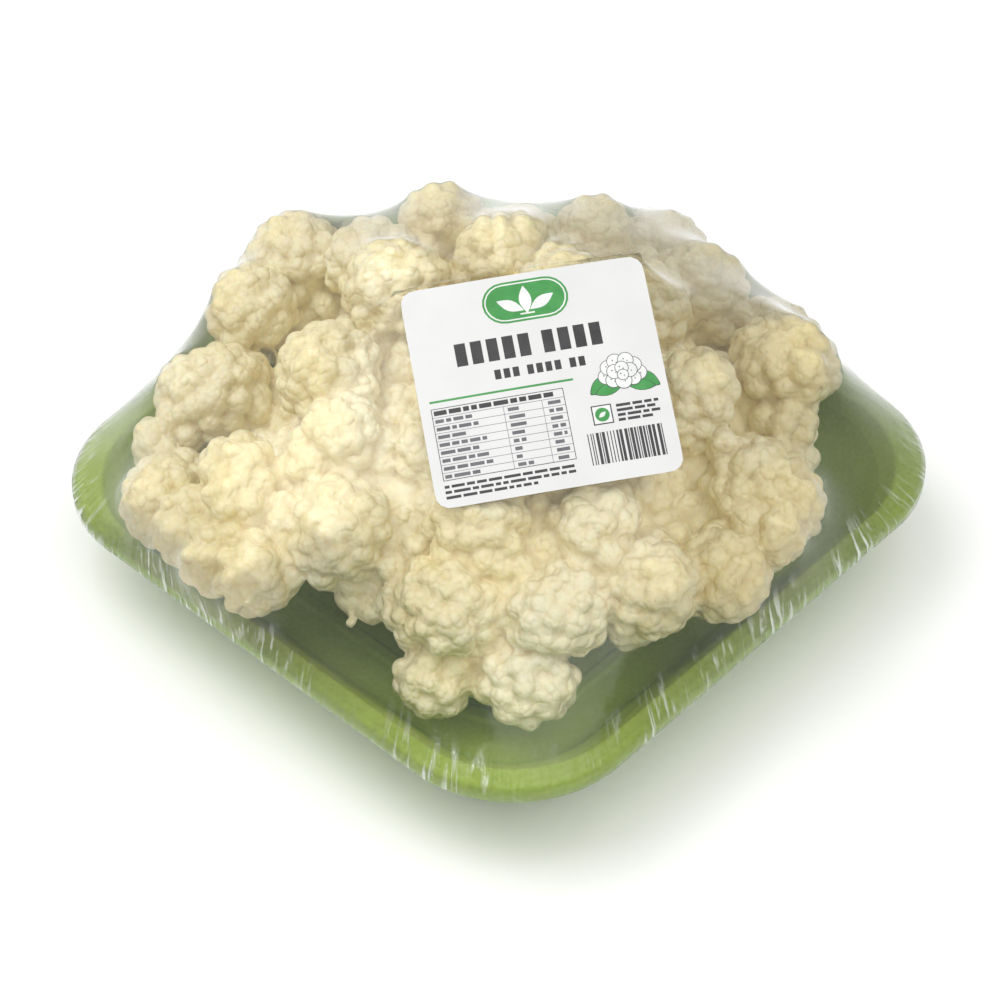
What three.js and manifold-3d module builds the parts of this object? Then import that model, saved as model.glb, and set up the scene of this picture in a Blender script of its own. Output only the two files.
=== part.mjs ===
// A trimmed cauliflower head on a square foam tray, wrapped in stretch film, with a paper label on the film.
// Millimetres, +Z up. The origin is under the middle of the pack, on the surface that it stands on, and the
// tray's sides run along X and Y.
import * as THREE from 'three';
import { mergeVertices } from 'three/addons/utils/BufferGeometryUtils.js';
import Module from 'manifold-3d';

// The smallest space left between pieces that lie against each other.
const GAP = 0.3;

// The tray.
const TRAY_SIDE = 150;
const TRAY_HEIGHT = 25;
const TRAY_CORNER_RADIUS = 29;
const TRAY_FLOOR_THICKNESS = 3.2;
const TRAY_WALL_THICKNESS = 3;
const TRAY_WALL_RUN = 17;
const RIM_WIDTH = 6;
const RIM_THICKNESS = 3;
const RIM_ROUND = 1.2;
const FLOOR_ROUND = 7;

// The head. The overhang is how far its curd may stand out past the tray's rim.
const HEAD_WIDTH = 156;
const HEAD_HEIGHT = 72;
const OVERHANG = 2.5;
const STEM_RADIUS = 17;
const STEM_LENGTH = 13;
const STEM_CHAMFER = 1.5;
const CROWN_WIDTH = 104;
const CROWN_HEIGHT = 58;
const CROWN_WIDEST_HEIGHT = 33;
const CROWN_UNDERCUT = 10;
const CROWN_SHOULDER = 12;
const BRANCH_COUNT = 9;
const BRANCH_ROOT_RADIUS = 8;
const BRANCH_TIP_RADIUS = 12;
const BRANCH_REACH = 56;
const BRANCH_TIP_HEIGHT = 29;

// The film, drawn thicker than real stretch film so that it is a solid. The slant is how much thicker the
// film is along a ray that meets it at a slant.
const FILM_THICKNESS = 0.3;
const FILM_CLEARANCE = 0.5;
const FILM_SLANT = 1.3;
const FILM_OPENING_WIDTH = 56;

// The label.
const LABEL_WIDTH = 51;
const LABEL_LENGTH = 48;
const LABEL_THICKNESS = 0.3;
const LABEL_CORNER_RADIUS = 3;
const LABEL_BEARING = -25;
const LABEL_REACH = 22;
const LABEL_FACING = -46;
const LABEL_TILT = 27;
const LABEL_TURN = 9;
const LABEL_MARGIN = 3;

// How finely the round shapes are cut.
const SEGMENTS = 60;
const RIM_STEPS = 3;
const BEND_STEPS = 4;
const CROWN_SEGMENTS = 30;
const CROWN_STEPS = 5;
const DOME_RINGS = 18;
const FLORET_DETAIL = 1;
const BRANCH_SIDES = 8;
const LABEL_CORNER_STEPS = 4;
const RELAX_PASSES = 400;
const HALF_CELL_STEPS = [-0.5, -0.25, 0, 0.25, 0.5];

// Florets, as they grew. Each has its bearing in degrees about the stem, its reach as a share of half the
// head's width, its height as a share of the head's height, and its radius in millimetres.
const FLORETS = [
  // crown
  [-20, 0.19, 0.72, 14], [-72, 0.31, 0.67, 13], [10, 0.42, 0.68, 12.5], [75, 0.18, 0.84, 14.5],
  [130, 0.26, 0.85, 13], [27, 0.54, 0.72, 11.5], [-130, 0.46, 0.71, 13], [-103, 0.50, 0.67, 12],
  [-168, 0.31, 0.83, 13.5], [70, 0.44, 0.73, 12], [126, 0.46, 0.70, 13], [172, 0.54, 0.68, 13],
  // shoulder
  [-54, 0.49, 0.56, 13], [-21, 0.55, 0.56, 12], [-88, 0.65, 0.54, 13.5], [-110, 0.77, 0.55, 13.5],
  [-142, 0.80, 0.49, 14], [-163, 0.78, 0.60, 11], [-179, 0.80, 0.60, 13], [148, 0.60, 0.69, 12.5],
  [108, 0.63, 0.66, 12], [81, 0.72, 0.58, 12.5], [50, 0.79, 0.56, 14.5], [18, 0.76, 0.47, 15.5],
  [-16, 0.76, 0.49, 11], [-36, 0.69, 0.43, 13.5], [-58, 0.66, 0.40, 14.5],
  // skirt
  [-42, 0.78, 0.23, 12.5], [-60, 0.75, 0.22, 11], [-74, 0.58, 0.42, 9.5], [-90, 0.66, 0.40, 9.5],
  [-97, 0.85, 0.39, 11.5], [-104, 0.90, 0.37, 10], [-112, 0.90, 0.33, 10.5], [-125, 0.93, 0.32, 10.5],
  [-134, 0.91, 0.42, 10], [-148, 0.85, 0.30, 12], [-176, 0.75, 0.34, 13], [161, 0.76, 0.34, 13],
  [130, 0.81, 0.38, 14], [99, 0.84, 0.38, 13], [68, 0.84, 0.32, 12.5], [36, 0.80, 0.40, 11],
  [13, 0.82, 0.28, 12.5], [0, 0.81, 0.33, 10.5], [-19, 0.74, 0.36, 10],
];

// What follows from the sizes above.
const HALF_SIDE = TRAY_SIDE / 2;
const TRAY_BASE_Z = FILM_THICKNESS + GAP;
const RIM_Z = TRAY_BASE_Z + TRAY_HEIGHT;
const FLOOR_Z = TRAY_BASE_Z + TRAY_FLOOR_THICKNESS;
const HEAD_BASE_Z = FLOOR_Z + GAP;
const FOOT_OUT = HALF_SIDE - TRAY_WALL_RUN;
const RIM_INNER = HALF_SIDE - RIM_WIDTH;
const WALL_FOOT_OUT = FOOT_OUT - TRAY_WALL_THICKNESS;
const DOME_CENTRE = new THREE.Vector3(0, 0, RIM_Z);

const wasm = await Module();
wasm.setup();

// Distance from the axis to the rounded-square outline of the tray, as a share of half its side.
function squareness(bearing) {
  const across = Math.abs(Math.cos(bearing));
  const along = Math.abs(Math.sin(bearing));
  const round = TRAY_CORNER_RADIUS / HALF_SIDE;
  const straight = 1 - round;
  if (Math.min(across, along) <= straight * Math.max(across, along)) {
    return 1 / Math.max(across, along);
  }
  const sum = straight * (across + along);
  return sum + Math.sqrt(sum * sum - 2 * straight * straight + round * round);
}

// A lathe turned on the axis and then drawn out to the tray's rounded-square outline. The profile is a list
// of [distance from the axis, height] points that starts and ends on the axis.
function squaredLathe(profile) {
  const points = profile.map(([out, z]) => new THREE.Vector2(out, z));
  const geometry = new THREE.LatheGeometry(points, SEGMENTS);
  geometry.rotateX(Math.PI / 2);
  const place = geometry.attributes.position;
  for (let i = 0; i < place.count; i += 1) {
    const x = place.getX(i);
    const y = place.getY(i);
    const stretch = squareness(Math.atan2(y, x));
    place.setXY(i, x * stretch, y * stretch);
  }
  return weld(geometry);
}

function weld(geometry) {
  geometry.deleteAttribute('normal');
  geometry.deleteAttribute('uv');
  return mergeVertices(geometry, 1e-4);
}

// Points of the quarter round that swings from one heading to another about a centre.
function arc(centreOut, centreZ, radius, fromDegrees, toDegrees, steps) {
  const points = [];
  for (let i = 0; i <= steps; i += 1) {
    const turn = THREE.MathUtils.degToRad(fromDegrees + ((toDegrees - fromDegrees) * i) / steps);
    points.push([centreOut + radius * Math.cos(turn), centreZ + radius * Math.sin(turn)]);
  }
  return points;
}

function trayGeometry() {
  const underRim = RIM_Z - RIM_THICKNESS;
  const outside = [[0, TRAY_BASE_Z], [FOOT_OUT, TRAY_BASE_Z], [RIM_INNER + TRAY_WALL_THICKNESS, underRim]];
  const lip = [
    [HALF_SIDE, underRim],
    ...arc(HALF_SIDE - RIM_ROUND, RIM_Z - RIM_ROUND, RIM_ROUND, 0, 90, RIM_STEPS),
    [RIM_INNER, RIM_Z],
  ];
  const rise = Math.atan2(RIM_Z - FLOOR_Z, RIM_INNER - WALL_FOOT_OUT);
  const bend = FLOOR_ROUND * Math.tan(rise / 2);
  const turn = THREE.MathUtils.radToDeg(rise);
  const inside = arc(WALL_FOOT_OUT - bend, FLOOR_Z + FLOOR_ROUND, FLOOR_ROUND, turn - 90, -90, BEND_STEPS);
  return squaredLathe([...outside, ...lip, ...inside, [0, FLOOR_Z]]);
}

// How far a ball on the inner side of the tray's wall has to rise to clear it.
function riseClearOfTray(centre, radius) {
  const out = Math.hypot(centre.x, centre.y) / squareness(Math.atan2(centre.y, centre.x));
  const need = radius + GAP;
  const alongOut = RIM_INNER - WALL_FOOT_OUT;
  const alongZ = RIM_Z - FLOOR_Z;
  let z = Math.max(centre.z, FLOOR_Z + need);
  for (; z < RIM_Z + need; z += GAP) {
    const along = (out - WALL_FOOT_OUT) * alongOut + (z - FLOOR_Z) * alongZ;
    const share = along / (alongOut ** 2 + alongZ ** 2);
    const near = THREE.MathUtils.clamp(share, 0, 1);
    const wallOut = WALL_FOOT_OUT + near * alongOut;
    const wallZ = FLOOR_Z + near * alongZ;
    const overRim = THREE.MathUtils.clamp(out, RIM_INNER, HALF_SIDE);
    const toWall = Math.hypot(out - wallOut, z - wallZ);
    const toRim = Math.hypot(out - overRim, z - RIM_Z);
    const inside = (out - WALL_FOOT_OUT) * alongZ < (z - FLOOR_Z) * alongOut;
    if (inside && Math.min(toWall, toRim) >= need) {
      return z - centre.z;
    }
  }
  return z - centre.z;
}

function placeFloret([bearing, reach, height, radius]) {
  const turn = THREE.MathUtils.degToRad(bearing);
  const roomOut = (HALF_SIDE + OVERHANG - radius) * squareness(turn);
  const out = Math.min((reach * HEAD_WIDTH) / 2, roomOut);
  const z = HEAD_BASE_Z + height * HEAD_HEIGHT;
  const centre = new THREE.Vector3(out * Math.cos(turn), out * Math.sin(turn), z);
  centre.z += riseClearOfTray(centre, radius);
  return { centre, radius };
}

const florets = FLORETS.map(placeFloret);

function toManifold(geometry) {
  const welded = weld(geometry.index ? geometry : geometry.clone());
  const vertProperties = new Float32Array(welded.attributes.position.array);
  const triVerts = new Uint32Array(welded.index.array);
  return new wasm.Manifold(new wasm.Mesh({ numProp: 3, vertProperties, triVerts }));
}

function fromManifold(solid) {
  const mesh = solid.getMesh();
  const geometry = new THREE.BufferGeometry();
  geometry.setAttribute('position', new THREE.BufferAttribute(mesh.vertProperties, mesh.numProp));
  geometry.setIndex(new THREE.BufferAttribute(mesh.triVerts, 1));
  return geometry;
}

function floretBall({ centre, radius }) {
  const ball = new THREE.IcosahedronGeometry(radius, FLORET_DETAIL);
  ball.translate(centre.x, centre.y, centre.z);
  return ball;
}

// The cut stem, and the solid crown of stalks that it widens into under the curd.
function crownGeometry() {
  const top = HEAD_BASE_Z + CROWN_HEIGHT;
  const half = CROWN_WIDTH / 2;
  const waist = HEAD_BASE_Z + STEM_LENGTH;
  const widest = HEAD_BASE_Z + CROWN_WIDEST_HEIGHT;
  const flare = new THREE.CubicBezierCurve(
    new THREE.Vector2(STEM_RADIUS, waist),
    new THREE.Vector2(STEM_RADIUS, waist + CROWN_UNDERCUT / 2),
    new THREE.Vector2(half, widest - CROWN_UNDERCUT),
    new THREE.Vector2(half, widest),
  );
  const cap = new THREE.CubicBezierCurve(
    new THREE.Vector2(half, widest),
    new THREE.Vector2(half, widest + CROWN_SHOULDER),
    new THREE.Vector2(half / 2, top),
    new THREE.Vector2(0, top),
  );
  const profile = [
    new THREE.Vector2(0, HEAD_BASE_Z),
    new THREE.Vector2(STEM_RADIUS - STEM_CHAMFER, HEAD_BASE_Z),
    new THREE.Vector2(STEM_RADIUS, HEAD_BASE_Z + STEM_CHAMFER),
    ...flare.getPoints(CROWN_STEPS),
    ...cap.getPoints(CROWN_STEPS).slice(1),
  ];
  const geometry = new THREE.LatheGeometry(profile, CROWN_SEGMENTS);
  geometry.rotateX(Math.PI / 2);
  return geometry;
}

// A stalk that leaves the stem and carries the skirt florets, thicker towards its tip.
function branchGeometry(index) {
  const turn = (index * 2 * Math.PI) / BRANCH_COUNT;
  const root = new THREE.Vector3(0, 0, HEAD_BASE_Z + STEM_LENGTH);
  const tip = new THREE.Vector3(BRANCH_REACH * Math.cos(turn), BRANCH_REACH * Math.sin(turn), 0);
  tip.z = HEAD_BASE_Z + BRANCH_TIP_HEIGHT;
  const length = root.distanceTo(tip);
  const stalk = new THREE.CylinderGeometry(BRANCH_TIP_RADIUS, BRANCH_ROOT_RADIUS, length, BRANCH_SIDES);
  stalk.translate(0, length / 2, 0);
  const aim = new THREE.Quaternion().setFromUnitVectors(
    new THREE.Vector3(0, 1, 0),
    tip.clone().sub(root).normalize(),
  );
  stalk.applyQuaternion(aim);
  stalk.translate(root.x, root.y, root.z);
  return stalk;
}

function headGeometry() {
  let head = toManifold(crownGeometry());
  for (let i = 0; i < BRANCH_COUNT; i += 1) {
    head = head.add(toManifold(branchGeometry(i)));
  }
  for (const floret of florets) {
    head = head.add(toManifold(floretBall(floret)));
  }
  return fromManifold(outerShell(head));
}

// The curd is solid inside, so only its outer surface counts, and small voids between florets are filled.
function outerShell(solid) {
  const shells = solid.decompose();
  return shells.reduce((largest, shell) => (shell.volume() > largest.volume() ? shell : largest));
}

// The label's plane, which rests on the highest florets under it with room for the film between.
function labelFrame() {
  const turn = THREE.MathUtils.degToRad(LABEL_FACING);
  const tilt = THREE.MathUtils.degToRad(LABEL_TILT);
  const facing = new THREE.Vector3(Math.cos(turn), Math.sin(turn), 0);
  const normal = facing.clone().multiplyScalar(Math.sin(tilt)).setZ(Math.cos(tilt));
  const level = new THREE.Vector3(-Math.sin(turn), Math.cos(turn), 0);
  const roll = THREE.MathUtils.degToRad(LABEL_TURN);
  const across = level.clone().applyAxisAngle(normal, roll);
  const along = normal.clone().cross(across);
  const bearing = THREE.MathUtils.degToRad(LABEL_BEARING);
  const spot = new THREE.Vector3(LABEL_REACH * Math.cos(bearing), LABEL_REACH * Math.sin(bearing), 0);
  const reachOut = Math.hypot(LABEL_WIDTH, LABEL_LENGTH) / 2 + LABEL_MARGIN;
  let support = 0;
  for (const { centre, radius } of florets) {
    const sideways = Math.hypot(centre.x - spot.x, centre.y - spot.y);
    if (sideways < reachOut) {
      support = Math.max(support, centre.dot(normal) + radius);
    }
  }
  const filmInside = support + FILM_CLEARANCE;
  const lift = (filmInside - spot.dot(normal)) / normal.z;
  const middle = spot.clone().setZ(lift);
  return { normal, across, along, middle, filmInside };
}

const label = labelFrame();

// The ray from the dome's centre at a ring's rise and a segment's bearing. At no rise and a share of one it
// ends on the tray's outline.
function rayTo(ring, segment) {
  const rise = ((DOME_RINGS - ring) / DOME_RINGS) * (Math.PI / 2);
  const bearing = (segment / SEGMENTS) * 2 * Math.PI;
  const out = Math.cos(rise) * squareness(bearing);
  return new THREE.Vector3(out * Math.cos(bearing), out * Math.sin(bearing), Math.sin(rise));
}

function reachOverFlorets(ray) {
  let reach = 0;
  for (const { centre, radius } of florets) {
    const toCentre = centre.clone().sub(DOME_CENTRE);
    const size = ray.lengthSq();
    const half = ray.dot(toCentre);
    const full = radius + FILM_CLEARANCE;
    const root = half * half - size * (toCentre.lengthSq() - full * full);
    if (root > 0) {
      reach = Math.max(reach, (half + Math.sqrt(root)) / size);
    }
  }
  return reach;
}

// The reach over the florets anywhere within half a cell, so that flat faces between rays clear them too.
function reachAround(ring, segment) {
  let reach = 0;
  for (const up of HALF_CELL_STEPS) {
    for (const round of HALF_CELL_STEPS) {
      const nearRing = THREE.MathUtils.clamp(ring + up, 0, 2 * DOME_RINGS);
      reach = Math.max(reach, reachOverFlorets(rayTo(nearRing, segment + round)));
    }
  }
  return reach;
}

// Where a ray meets the label's plane under the label, or 0 where it misses the label.
function reachUnderLabel(ray) {
  const toward = ray.dot(label.normal);
  if (toward <= 0) {
    return 0;
  }
  const reach = (label.filmInside - DOME_CENTRE.dot(label.normal)) / toward;
  const offset = ray.clone().multiplyScalar(reach).add(DOME_CENTRE).sub(label.middle);
  const onLabel = Math.abs(offset.dot(label.across)) < LABEL_WIDTH / 2 + LABEL_MARGIN
    && Math.abs(offset.dot(label.along)) < LABEL_LENGTH / 2 + LABEL_MARGIN;
  return onLabel ? reach : 0;
}

// The taut sheet above the rim. Each vertex slides on its own ray to the mean of its neighbours, as a
// stretched sheet does, and rests on the florets and under the label.
function relaxDome() {
  const rays = [];
  const least = [];
  const fixed = [];
  const reach = [];
  for (let ring = 0; ring <= DOME_RINGS; ring += 1) {
    for (let segment = 0; segment < SEGMENTS; segment += 1) {
      const ray = rayTo(ring, segment);
      const under = reachUnderLabel(ray);
      rays.push(ray);
      least.push(Math.max(reachAround(ring, segment), under));
      fixed.push(under > 0);
      reach.push(under > 0 ? under : HALF_SIDE + GAP);
    }
  }
  const at = (ring, segment) => ring * SEGMENTS + ((segment + SEGMENTS) % SEGMENTS);
  const point = (i) => rays[i].clone().multiplyScalar(reach[i]);
  for (let pass = 0; pass < RELAX_PASSES; pass += 1) {
    for (let ring = 1; ring < DOME_RINGS; ring += 1) {
      for (let segment = 0; segment < SEGMENTS; segment += 1) {
        const i = at(ring, segment);
        if (!fixed[i]) {
          const mean = point(at(ring - 1, segment)).add(point(at(ring + 1, segment)));
          mean.add(point(at(ring, segment - 1))).add(point(at(ring, segment + 1))).multiplyScalar(0.25);
          reach[i] = Math.max(least[i], mean.dot(rays[i]) / rays[i].lengthSq());
        }
      }
    }
    const first = reach.slice(SEGMENTS, 2 * SEGMENTS);
    const heights = first.map((length, i) => length * rays[SEGMENTS + i].z);
    const pole = heights.reduce((sum, height) => sum + height, 0) / SEGMENTS;
    reach.fill(Math.max(least[0], pole), 0, SEGMENTS);
  }
  return { rays, reach };
}

// Rings of inner and outer points, from the top of the dome down over the rim, in along the tray's outside
// and under it to the edge of the gathered opening.
function filmRings() {
  const { rays, reach } = relaxDome();
  const inner = [];
  const outer = [];
  for (let ring = 0; ring < DOME_RINGS; ring += 1) {
    const insideRing = [];
    const outsideRing = [];
    for (let segment = 0; segment < SEGMENTS; segment += 1) {
      const i = ring * SEGMENTS + segment;
      insideRing.push(rays[i].clone().multiplyScalar(reach[i]).add(DOME_CENTRE));
      const thicker = reach[i] + (FILM_THICKNESS * FILM_SLANT) / rays[i].length();
      outsideRing.push(rays[i].clone().multiplyScalar(thicker).add(DOME_CENTRE));
    }
    inner.push(insideRing);
    outer.push(outsideRing);
  }
  const rimOut = HALF_SIDE + GAP;
  const stations = [
    [rimOut, RIM_Z, rimOut + FILM_THICKNESS, RIM_Z],
    [rimOut, RIM_Z - RIM_THICKNESS - GAP, rimOut + FILM_THICKNESS, RIM_Z - RIM_THICKNESS - GAP],
    [FOOT_OUT + 2 * GAP, FILM_THICKNESS, FOOT_OUT + 2 * GAP + FILM_THICKNESS, 0],
    [FILM_OPENING_WIDTH / 2, FILM_THICKNESS, FILM_OPENING_WIDTH / 2, 0],
  ];
  for (const [insideOut, insideZ, outsideOut, outsideZ] of stations) {
    inner.push(outlineRing(insideOut, insideZ));
    outer.push(outlineRing(outsideOut, outsideZ));
  }
  return { inner, outer };
}

function outlineRing(out, z) {
  const ring = [];
  for (let segment = 0; segment < SEGMENTS; segment += 1) {
    const bearing = (segment / SEGMENTS) * 2 * Math.PI;
    const reach = out * squareness(bearing);
    ring.push(new THREE.Vector3(reach * Math.cos(bearing), reach * Math.sin(bearing), z));
  }
  return ring;
}

function filmGeometry() {
  const { inner, outer } = filmRings();
  const rings = [...outer, ...inner.reverse()];
  const positions = rings.flat().flatMap((point) => point.toArray());
  const faces = [];
  for (let ring = 0; ring + 1 < rings.length; ring += 1) {
    for (let segment = 0; segment < SEGMENTS; segment += 1) {
      const next = (segment + 1) % SEGMENTS;
      const a = ring * SEGMENTS + segment;
      const b = ring * SEGMENTS + next;
      faces.push(a, a + SEGMENTS, b + SEGMENTS, a, b + SEGMENTS, b);
    }
  }
  const geometry = new THREE.BufferGeometry();
  geometry.setAttribute('position', new THREE.Float32BufferAttribute(positions, 3));
  geometry.setIndex(faces);
  return dropSlivers(mergeVertices(geometry, 1e-4));
}

// The rings at the top of the dome shrink to one point, which leaves faces without area.
function dropSlivers(geometry) {
  const kept = [];
  const index = geometry.index.array;
  for (let i = 0; i < index.length; i += 3) {
    const [a, b, c] = [index[i], index[i + 1], index[i + 2]];
    if (a !== b && b !== c && c !== a) {
      kept.push(a, b, c);
    }
  }
  geometry.setIndex(kept);
  return geometry;
}

function labelGeometry() {
  const halfWidth = LABEL_WIDTH / 2;
  const halfLength = LABEL_LENGTH / 2;
  const round = LABEL_CORNER_RADIUS;
  const outline = new THREE.Shape();
  outline.moveTo(-halfWidth + round, -halfLength);
  outline.lineTo(halfWidth - round, -halfLength);
  outline.absarc(halfWidth - round, -halfLength + round, round, -Math.PI / 2, 0);
  outline.lineTo(halfWidth, halfLength - round);
  outline.absarc(halfWidth - round, halfLength - round, round, 0, Math.PI / 2);
  outline.lineTo(-halfWidth + round, halfLength);
  outline.absarc(-halfWidth + round, halfLength - round, round, Math.PI / 2, Math.PI);
  outline.lineTo(-halfWidth, -halfLength + round);
  outline.absarc(-halfWidth + round, -halfLength + round, round, Math.PI, 1.5 * Math.PI);
  const sweep = { depth: LABEL_THICKNESS, bevelEnabled: false, curveSegments: LABEL_CORNER_STEPS };
  return weld(new THREE.ExtrudeGeometry(outline, sweep));
}

function piece(name, geometry, colour, roughness) {
  const material = new THREE.MeshStandardMaterial({ color: colour, roughness, metalness: 0 });
  const mesh = new THREE.Mesh(geometry, material);
  mesh.name = name;
  return mesh;
}

const tray = piece('foam_tray', trayGeometry(), 0xa8be5f, 0.6);
const head = piece('cauliflower', headGeometry(), 0xe8dcaa, 0.7);

const film = piece('stretch_film', filmGeometry(), 0xe6eae4, 0.1);
film.material.transparent = true;
film.material.opacity = 0.25;

const paper = piece('label', labelGeometry(), 0xf4f4f0, 0.5);
const labelLift = FILM_THICKNESS * FILM_SLANT + GAP;
const labelTurn = new THREE.Matrix4().makeBasis(label.across, label.along, label.normal);
paper.quaternion.setFromRotationMatrix(labelTurn);
paper.position.copy(label.middle).addScaledVector(label.normal, labelLift);

const pack = new THREE.Group();
pack.add(tray, head, film, paper);

export default pack;
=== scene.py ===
"""A trimmed cauliflower head on a green foam tray, overwrapped in clear stretch film with a printed label.

Everything is in metres in the row frame: +Z up, the tray's sides along X and Y, the pack standing on z = 0.
"""

import math

import bmesh
import bpy
import numpy as np
from mathutils import Matrix, Vector
from mathutils.bvhtree import BVHTree


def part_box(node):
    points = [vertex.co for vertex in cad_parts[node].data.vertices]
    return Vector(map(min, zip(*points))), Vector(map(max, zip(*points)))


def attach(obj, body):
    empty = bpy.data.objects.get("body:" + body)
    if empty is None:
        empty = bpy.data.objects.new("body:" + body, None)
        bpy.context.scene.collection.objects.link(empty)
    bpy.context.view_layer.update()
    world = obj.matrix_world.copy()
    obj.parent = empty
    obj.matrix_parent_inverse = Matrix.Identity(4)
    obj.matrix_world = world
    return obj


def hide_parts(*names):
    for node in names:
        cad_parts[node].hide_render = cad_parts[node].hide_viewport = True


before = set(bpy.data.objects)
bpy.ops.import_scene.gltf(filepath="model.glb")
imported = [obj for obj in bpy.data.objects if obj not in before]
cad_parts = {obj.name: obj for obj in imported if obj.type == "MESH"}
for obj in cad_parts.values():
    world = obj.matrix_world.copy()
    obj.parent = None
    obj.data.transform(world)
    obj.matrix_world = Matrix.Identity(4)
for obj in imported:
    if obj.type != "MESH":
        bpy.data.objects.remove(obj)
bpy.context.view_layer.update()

MM = 0.001
BODY = "root"
scene = bpy.context.scene
scene.view_settings.view_transform = "Standard"


# -------------------------------------------------------------------------------------------- mesh helpers

def new_piece(name, mesh):
    piece = bpy.data.objects.new(name, mesh)
    scene.collection.objects.link(piece)
    return piece


def piece_from_bmesh(name, shape, smooth=True):
    mesh = bpy.data.meshes.new(name)
    shape.to_mesh(mesh)
    shape.free()
    if smooth:
        mesh.shade_smooth()
    return new_piece(name, mesh)


def merged_copy(node, name):
    """A copy of a CAD node with its loose triangles joined at their corners."""
    shape = bmesh.new()
    shape.from_mesh(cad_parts[node].data)
    bmesh.ops.remove_doubles(shape, verts=shape.verts, dist=1e-6)
    return piece_from_bmesh(name, shape)


def apply_modifiers(piece):
    depsgraph = bpy.context.evaluated_depsgraph_get()
    finished = bpy.data.meshes.new_from_object(piece.evaluated_get(depsgraph))
    finished.name = piece.name
    old = piece.data
    piece.modifiers.clear()
    piece.data = finished
    bpy.data.meshes.remove(old)
    piece.data.shade_smooth()


def remesh(piece, voxel):
    modifier = piece.modifiers.new("even_faces", "REMESH")
    modifier.mode = "VOXEL"
    modifier.voxel_size = voxel
    apply_modifiers(piece)


def soften(piece, factor, repeats):
    modifier = piece.modifiers.new("soften", "SMOOTH")
    modifier.factor = factor
    modifier.iterations = repeats
    apply_modifiers(piece)


def thin_out(piece, most_triangles, shelter):
    """Takes triangles away, mostly where the shelter of a vertex is near one."""
    piece.data.calc_loop_triangles()
    count = len(piece.data.loop_triangles)
    if count > most_triangles:
        group = piece.vertex_groups.new(name="shelter")
        for level in range(SHELTER_LEVELS + 1):
            members = np.flatnonzero(np.round(shelter * SHELTER_LEVELS) == level)
            group.add(members.tolist(), level / SHELTER_LEVELS, "REPLACE")
        modifier = piece.modifiers.new("fewer_faces", "DECIMATE")
        modifier.ratio = most_triangles / count
        modifier.vertex_group = group.name
        modifier.vertex_group_factor = 1.0
        apply_modifiers(piece)
        piece.vertex_groups.clear()


def places(piece):
    found = np.empty(len(piece.data.vertices) * 3, np.float32)
    piece.data.vertices.foreach_get("co", found)
    return found.reshape(-1, 3).astype(float)


def normals(piece):
    found = np.empty(len(piece.data.vertices) * 3, np.float32)
    piece.data.vertex_normals.foreach_get("vector", found)
    return found.reshape(-1, 3).astype(float)


def put(piece, points):
    piece.data.vertices.foreach_set("co", points.astype(np.float32).ravel())
    piece.data.update()


def store(piece, name, values):
    """Keeps one number for each vertex, for a material to read."""
    attribute = piece.data.attributes.new(name, "FLOAT", "POINT")
    attribute.data.foreach_set("value", values.astype(np.float32))


def surface_tree(piece):
    depsgraph = bpy.context.evaluated_depsgraph_get()
    depsgraph.update()
    return BVHTree.FromObject(piece, depsgraph)


def finish_piece(piece, slot, *nodes):
    """Hides the CAD parts that a piece stands for and attaches the piece to the body that it rides on. Its
    slot is not used.
    """
    if nodes:
        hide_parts(*nodes)
    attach(piece, BODY)


# ------------------------------------------------------------------------------------------------ the curd

CORE_VOXEL, CURD_VOXEL = 1.1 * MM, 0.55 * MM
CURD_TRIANGLES = 192_000
GAP_CLOSING = 0.8 * MM
# Each growth of round shapes: how far apart they sit, their radius and how it varies, how deep the surface
# between them lies, how far they stand out, how far down they may face, and how finely each ball is cut.
LOBES = dict(spacing=12.5 * MM, radius=9.4 * MM, spread=0.2, sunk=3.1 * MM, out=0.0,
             lowest_facing=-0.35, cuts=4)
BUDS = dict(spacing=4.3 * MM, radius=3.0 * MM, spread=0.25, sunk=1.6 * MM, out=0.6 * MM,
            lowest_facing=-1.1, cuts=3)
SEED_TRIES = 90_000  # places tried for each growth
STALK_TOP, STALK_FADE = 24 * MM, 8 * MM
STALK_REACH = 55 * MM
SHELTERED_HEIGHT, SHELTERED_REACH, SHELTER_LEVELS = 30 * MM, 56 * MM, 10
SHELTER_FADE_UP, SHELTER_FADE_OUT, LEAST_SHELTER = 8 * MM, 10 * MM, 0.12
# Smoothing passes and depth that measure the valleys between lobes, for the painted shade in them.
VALLEY_PASSES, VALLEY_DEPTH = 60, 1.6 * MM
# Smoothing passes and depth that measure the creases between buds, for the painted shade in them.
CREASE_PASSES, CREASE_DEPTH = 9, 0.4 * MM


def scatter(points, spacing, draw):
    """Indices of points that lie at least a spacing apart, taken in a drawn order."""
    cells, chosen = {}, []
    keys = np.floor(points / spacing).astype(int)
    near = [(a, b, c) for a in (-1, 0, 1) for b in (-1, 0, 1) for c in (-1, 0, 1)]
    for i in draw.permutation(len(points))[:SEED_TRIES]:
        x, y, z = keys[i]
        here = points[i]
        close = False
        for a, b, c in near:
            for other in cells.get((x + a, y + b, z + c), ()):
                gap = here - points[other]
                if gap @ gap < spacing * spacing:
                    close = True
                    break
            if close:
                break
        if not close:
            cells.setdefault((x, y, z), []).append(i)
            chosen.append(i)
    return np.array(chosen)


def not_stalk(points):
    """One on the curd, falling to nothing on the stem and the stalks that hold it up."""
    out = np.hypot(points[:, 0], points[:, 1])
    low = np.clip((points[:, 2] - STALK_TOP + STALK_FADE) / STALK_FADE, 0, 1)
    return np.maximum(low, np.clip((out - STALK_REACH) / STALK_FADE, 0, 1))


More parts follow.
